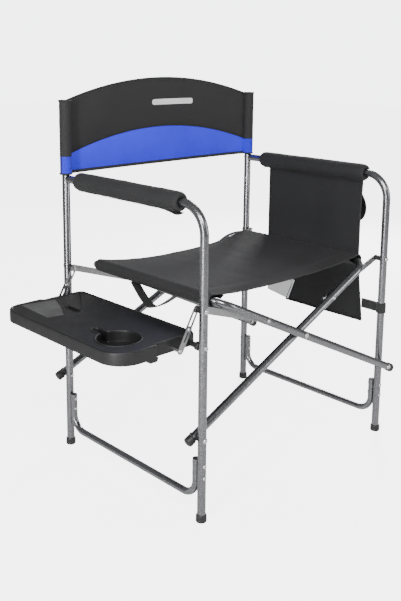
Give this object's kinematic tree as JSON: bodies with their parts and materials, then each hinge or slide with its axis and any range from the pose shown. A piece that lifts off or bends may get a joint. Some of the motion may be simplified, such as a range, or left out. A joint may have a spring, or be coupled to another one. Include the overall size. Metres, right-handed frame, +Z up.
{
  "type": "director chair",
  "caption": "Folding director chair with a cross-braced tube frame, slung fabric seat and arched backrest, padded arm, fold-up side table with cup well and hanging organizer.",
  "frame": {"origin": "on the floor, at the bottom centre of the bounding box of the open chair with its table down", "axes": "+Z up, the sitter faces -Y, +X towards the sitter's left (the organizer side), the side table at -X"},
  "size_m": [0.9, 0.5568, 0.929],
  "materials": {
    "frame_coating": "hammered dark grey metallic coating",
    "zinc": "bright zinc plate",
    "link_steel": "grey plated steel",
    "black_plastic": "matte black",
    "table_plastic": "satin to gloss black",
    "black_cloth": "black woven polyester",
    "blue_cloth": "royal blue woven polyester",
    "webbing": "black woven webbing",
    "label_cloth": "pale blank woven label"
  },
  "bodies": {
    "left_frame": {"left_leg_and_arm_tube": "frame_coating", "left_back_post": "frame_coating", "left_lower_stretcher": "frame_coating", "left_front_foot": "black_plastic", "left_back_foot": "black_plastic", "left_arm_pad": "black_cloth", "left_backrest_sleeve": "black_cloth", "backrest_panel": "black_cloth", "backrest_band": "blue_cloth", "left_front_lower_pivot_bolt": "zinc", "left_back_lower_pivot_bolt": "zinc", "left_front_link_bolt": "zinc", "left_back_link_bolt": "zinc", "table_front_hinge_bolt": "zinc", "table_back_hinge_bolt": "zinc"},
    "cross_frame_b": {"cross_tube_b": "frame_coating", "cross_tube_b_front_cap": "black_plastic", "cross_tube_b_back_cap": "black_plastic", "seat_sleeve_right": "black_cloth", "seat_sling": "black_cloth"},
    "cross_frame_a": {"cross_tube_a": "frame_coating", "cross_tube_a_front_cap": "black_plastic", "cross_tube_a_back_cap": "black_plastic", "front_crossing_bolt": "zinc", "back_crossing_bolt": "zinc", "seat_sleeve_left": "black_cloth", "carry_handle": "webbing"},
    "right_frame": {"right_leg_and_arm_tube": "frame_coating", "right_back_post": "frame_coating", "right_lower_stretcher": "frame_coating", "right_front_foot": "black_plastic", "right_back_foot": "black_plastic", "right_backrest_sleeve": "black_cloth", "organizer_sleeve": "black_cloth", "organizer_panel": "black_cloth", "organizer_pocket": "black_cloth", "organizer_flap": "black_cloth", "organizer_strap": "webbing", "organizer_snap": "zinc", "care_label": "label_cloth", "right_front_lower_pivot_bolt": "zinc", "right_back_lower_pivot_bolt": "zinc", "right_front_link_bolt": "zinc", "right_back_link_bolt": "zinc"},
    "left_links": {"left_front_link": "link_steel", "left_front_link_rivet": "zinc", "left_back_link": "link_steel", "left_back_link_rivet": "zinc"},
    "right_links": {"right_front_link": "link_steel", "right_front_link_rivet": "zinc", "right_back_link": "link_steel", "right_back_link_rivet": "zinc"},
    "table": {"table_top": "table_plastic", "table_stop_tab": "table_plastic", "front_brace_rivet": "zinc", "back_brace_rivet": "zinc"},
    "brace_uppers": {"front_brace_upper": "link_steel", "back_brace_upper": "link_steel"},
    "brace_lowers": {"front_brace_lower": "link_steel", "back_brace_lower": "link_steel"}
  },
  "joints": [
    {"name": "fold", "type": "hinge", "parent": "left_frame", "child": "cross_frame_b", "pos_m": [-0.247, 0, 0.1888], "axis": [0, -1, 0], "range_deg": [0, 49.5], "deforming": ["backrest_panel", "backrest_band"]},
    {"name": "crossing_pivot", "type": "hinge", "parent": "cross_frame_b", "child": "cross_frame_a", "pos_m": [0.078, 0, 0.3468], "axis": [0, -1, 0], "range_deg": [-99.1, 0], "deforming": ["seat_sling", "carry_handle"]},
    {"name": "right_lower_pivot", "type": "hinge", "parent": "cross_frame_a", "child": "right_frame", "pos_m": [0.403, 0, 0.1888], "axis": [0, -1, 0], "range_deg": [0, 49.6]},
    {"name": "left_link_pivot", "type": "hinge", "parent": "left_frame", "child": "left_links", "pos_m": [-0.247, 0, 0.4735], "axis": [0, -1, 0], "range_deg": [0, 92.9]},
    {"name": "right_link_pivot", "type": "hinge", "parent": "right_frame", "child": "right_links", "pos_m": [0.403, 0, 0.4735], "axis": [0, -1, 0], "range_deg": [-92.9, 0]},
    {"name": "table_hinge", "type": "hinge", "parent": "left_frame", "child": "table", "pos_m": [-0.247, 0, 0.3936], "axis": [0, 1, 0], "range_deg": [0, 90]},
    {"name": "brace_upper_pivot", "type": "hinge", "parent": "left_frame", "child": "brace_uppers", "pos_m": [-0.247, 0, 0.4735], "axis": [0, 1, 0], "range_deg": [0, 44]},
    {"name": "brace_lower_pivot", "type": "hinge", "parent": "table", "child": "brace_lowers", "pos_m": [-0.294, 0, 0.3925], "axis": [0, 1, 0], "range_deg": [-185.1, 0]}
  ],
  "couplings": [
    {"joint": "crossing_pivot", "follows": "fold", "ratio": -2},
    {"joint": "right_lower_pivot", "follows": "fold", "ratio": 1},
    {"joint": "left_link_pivot", "follows": "fold", "ratio": 1.874},
    {"joint": "right_link_pivot", "follows": "fold", "ratio": -1.874},
    {"joint": "brace_upper_pivot", "follows": "table_hinge", "ratio": 0.48802},
    {"joint": "brace_lower_pivot", "follows": "table_hinge", "ratio": -2.0552}
  ]
}
